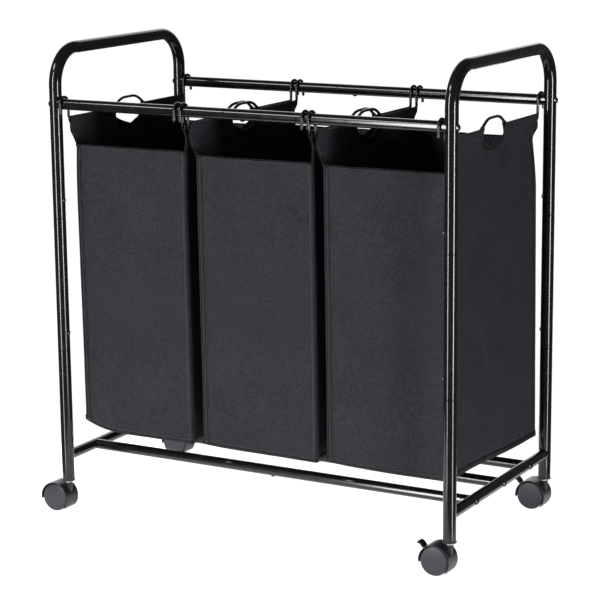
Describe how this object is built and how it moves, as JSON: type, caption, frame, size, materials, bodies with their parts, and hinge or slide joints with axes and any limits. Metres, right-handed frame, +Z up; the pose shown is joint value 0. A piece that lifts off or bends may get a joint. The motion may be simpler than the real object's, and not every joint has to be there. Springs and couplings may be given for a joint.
{
  "type": "laundry sorter on wheels",
  "caption": "Black tube frame on hooded twin-wheel casters, with removable fabric bags hung side by side on wire rods between two hanging bars.",
  "frame": {"origin": "on the floor, under the middle of the overall box", "axes": "+X along the length towards the braked casters, +Y from front to back, +Z up"},
  "size_m": [0.7888, 0.421, 0.81],
  "materials": {
    "tube_paint": "glossy black powder coat",
    "rod_paint": "glossy black dip coat",
    "black_screw": "black, satin",
    "bright_steel": "bright zinc",
    "socket_plastic": "moulded, satin",
    "plug_plastic": "moulded, matt",
    "hood_plastic": "moulded, semi-gloss",
    "wheel_plastic": "moulded, fine satin",
    "lever_plastic": "moulded, satin",
    "bag_fabric": "plain woven polyester, matt with a faint sheen"
  },
  "bodies": {
    "frame": {"left_handle_tube": "tube_paint", "right_handle_tube": "tube_paint", "left_lower_frame": "tube_paint", "right_lower_frame": "tube_paint", "front_left_leg_tube": "tube_paint", "front_right_leg_tube": "tube_paint", "back_left_leg_tube": "tube_paint", "back_right_leg_tube": "tube_paint", "front_bar_left": "tube_paint", "front_bar_right": "tube_paint", "back_bar_left": "tube_paint", "back_bar_right": "tube_paint", "front_rail_left": "tube_paint", "front_rail_right": "tube_paint", "middle_rail_left": "tube_paint", "middle_rail_right": "tube_paint", "back_rail_left": "tube_paint", "back_rail_right": "tube_paint", "bar_end_plugs": "plug_plastic", "rail_end_plugs": "plug_plastic", "bar_bolts": "black_screw", "rail_bolts": "black_screw", "leg_joint_screws": "black_screw", "bar_joint_screws": "black_screw", "caster_sockets": "socket_plastic", "stem_clips": "bright_steel", "front_left_stem": "bright_steel", "front_right_stem": "bright_steel", "back_left_stem": "bright_steel", "back_right_stem": "bright_steel"},
    "front_left_caster": {"front_left_hood": "hood_plastic", "front_left_axle": "bright_steel"},
    "front_left_turning_wheel_a": {"front_left_wheel_a": "wheel_plastic"},
    "front_left_turning_wheel_b": {"front_left_wheel_b": "wheel_plastic"},
    "front_right_caster": {"front_right_hood": "hood_plastic", "front_right_axle": "bright_steel", "front_right_lever_pin": "bright_steel"},
    "front_right_turning_wheel_a": {"front_right_wheel_a": "wheel_plastic"},
    "front_right_turning_wheel_b": {"front_right_wheel_b": "wheel_plastic"},
    "front_right_brake": {"front_right_brake_lever": "lever_plastic"},
    "back_left_caster": {"back_left_hood": "hood_plastic", "back_left_axle": "bright_steel"},
    "back_left_turning_wheel_a": {"back_left_wheel_a": "wheel_plastic"},
    "back_left_turning_wheel_b": {"back_left_wheel_b": "wheel_plastic"},
    "back_right_caster": {"back_right_hood": "hood_plastic", "back_right_axle": "bright_steel", "back_right_lever_pin": "bright_steel"},
    "back_right_turning_wheel_a": {"back_right_wheel_a": "wheel_plastic"},
    "back_right_turning_wheel_b": {"back_right_wheel_b": "wheel_plastic"},
    "back_right_brake": {"back_right_brake_lever": "lever_plastic"},
    "left_hanging_bag": {"left_bag": "bag_fabric", "left_bag_rod_a": "rod_paint", "left_bag_rod_b": "rod_paint"},
    "middle_hanging_bag": {"middle_bag": "bag_fabric", "middle_bag_rod_a": "rod_paint", "middle_bag_rod_b": "rod_paint"},
    "right_hanging_bag": {"right_bag": "bag_fabric", "right_bag_rod_a": "rod_paint", "right_bag_rod_b": "rod_paint"}
  },
  "joints": [
    {"name": "front_left_swivel", "type": "hinge", "parent": "frame", "child": "front_left_caster", "pos_m": [-0.34758, -0.193, 0.054], "axis": [0, 0, 1], "continuous": true},
    {"name": "front_left_wheel_a_spin", "type": "hinge", "parent": "front_left_caster", "child": "front_left_turning_wheel_a", "pos_m": [-0.36757, -0.193, 0.024], "axis": [0, 1, 0], "continuous": true},
    {"name": "front_left_wheel_b_spin", "type": "hinge", "parent": "front_left_caster", "child": "front_left_turning_wheel_b", "pos_m": [-0.36757, -0.193, 0.024], "axis": [0, 1, 0], "continuous": true},
    {"name": "front_right_swivel", "type": "hinge", "parent": "frame", "child": "front_right_caster", "pos_m": [0.38043, -0.193, 0.054], "axis": [0, 0, 1], "continuous": true},
    {"name": "front_right_wheel_a_spin", "type": "hinge", "parent": "front_right_caster", "child": "front_right_turning_wheel_a", "pos_m": [0.36042, -0.193, 0.024], "axis": [0, 1, 0], "continuous": true},
    {"name": "front_right_wheel_b_spin", "type": "hinge", "parent": "front_right_caster", "child": "front_right_turning_wheel_b", "pos_m": [0.36042, -0.193, 0.024], "axis": [0, 1, 0], "continuous": true},
    {"name": "front_right_brake_tilt", "type": "hinge", "parent": "front_right_caster", "child": "front_right_brake", "pos_m": [0.35042, -0.193, 0.0435], "axis": [0, -1, 0], "range_deg": [0, 14]},
    {"name": "back_left_swivel", "type": "hinge", "parent": "frame", "child": "back_left_caster", "pos_m": [-0.34758, 0.193, 0.054], "axis": [0, 0, 1], "continuous": true},
    {"name": "back_left_wheel_a_spin", "type": "hinge", "parent": "back_left_caster", "child": "back_left_turning_wheel_a", "pos_m": [-0.36757, 0.193, 0.024], "axis": [0, 1, 0], "continuous": true},
    {"name": "back_left_wheel_b_spin", "type": "hinge", "parent": "back_left_caster", "child": "back_left_turning_wheel_b", "pos_m": [-0.36757, 0.193, 0.024], "axis": [0, 1, 0], "continuous": true},
    {"name": "back_right_swivel", "type": "hinge", "parent": "frame", "child": "back_right_caster", "pos_m": [0.38043, 0.193, 0.054], "axis": [0, 0, 1], "continuous": true},
    {"name": "back_right_wheel_a_spin", "type": "hinge", "parent": "back_right_caster", "child": "back_right_turning_wheel_a", "pos_m": [0.36042, 0.193, 0.024], "axis": [0, 1, 0], "continuous": true},
    {"name": "back_right_wheel_b_spin", "type": "hinge", "parent": "back_right_caster", "child": "back_right_turning_wheel_b", "pos_m": [0.36042, 0.193, 0.024], "axis": [0, 1, 0], "continuous": true},
    {"name": "back_right_brake_tilt", "type": "hinge", "parent": "back_right_caster", "child": "back_right_brake", "pos_m": [0.35042, 0.193, 0.0435], "axis": [0, -1, 0], "range_deg": [0, 14]},
    {"name": "left_bag_lift", "type": "slide", "parent": "frame", "child": "left_hanging_bag", "axis": [0, 0, 1], "range_m": [0, 0.69]},
    {"name": "middle_bag_lift", "type": "slide", "parent": "frame", "child": "middle_hanging_bag", "axis": [0, 0, 1], "range_m": [0, 0.69]},
    {"name": "right_bag_lift", "type": "slide", "parent": "frame", "child": "right_hanging_bag", "axis": [0, 0, 1], "range_m": [0, 0.69]}
  ]
}
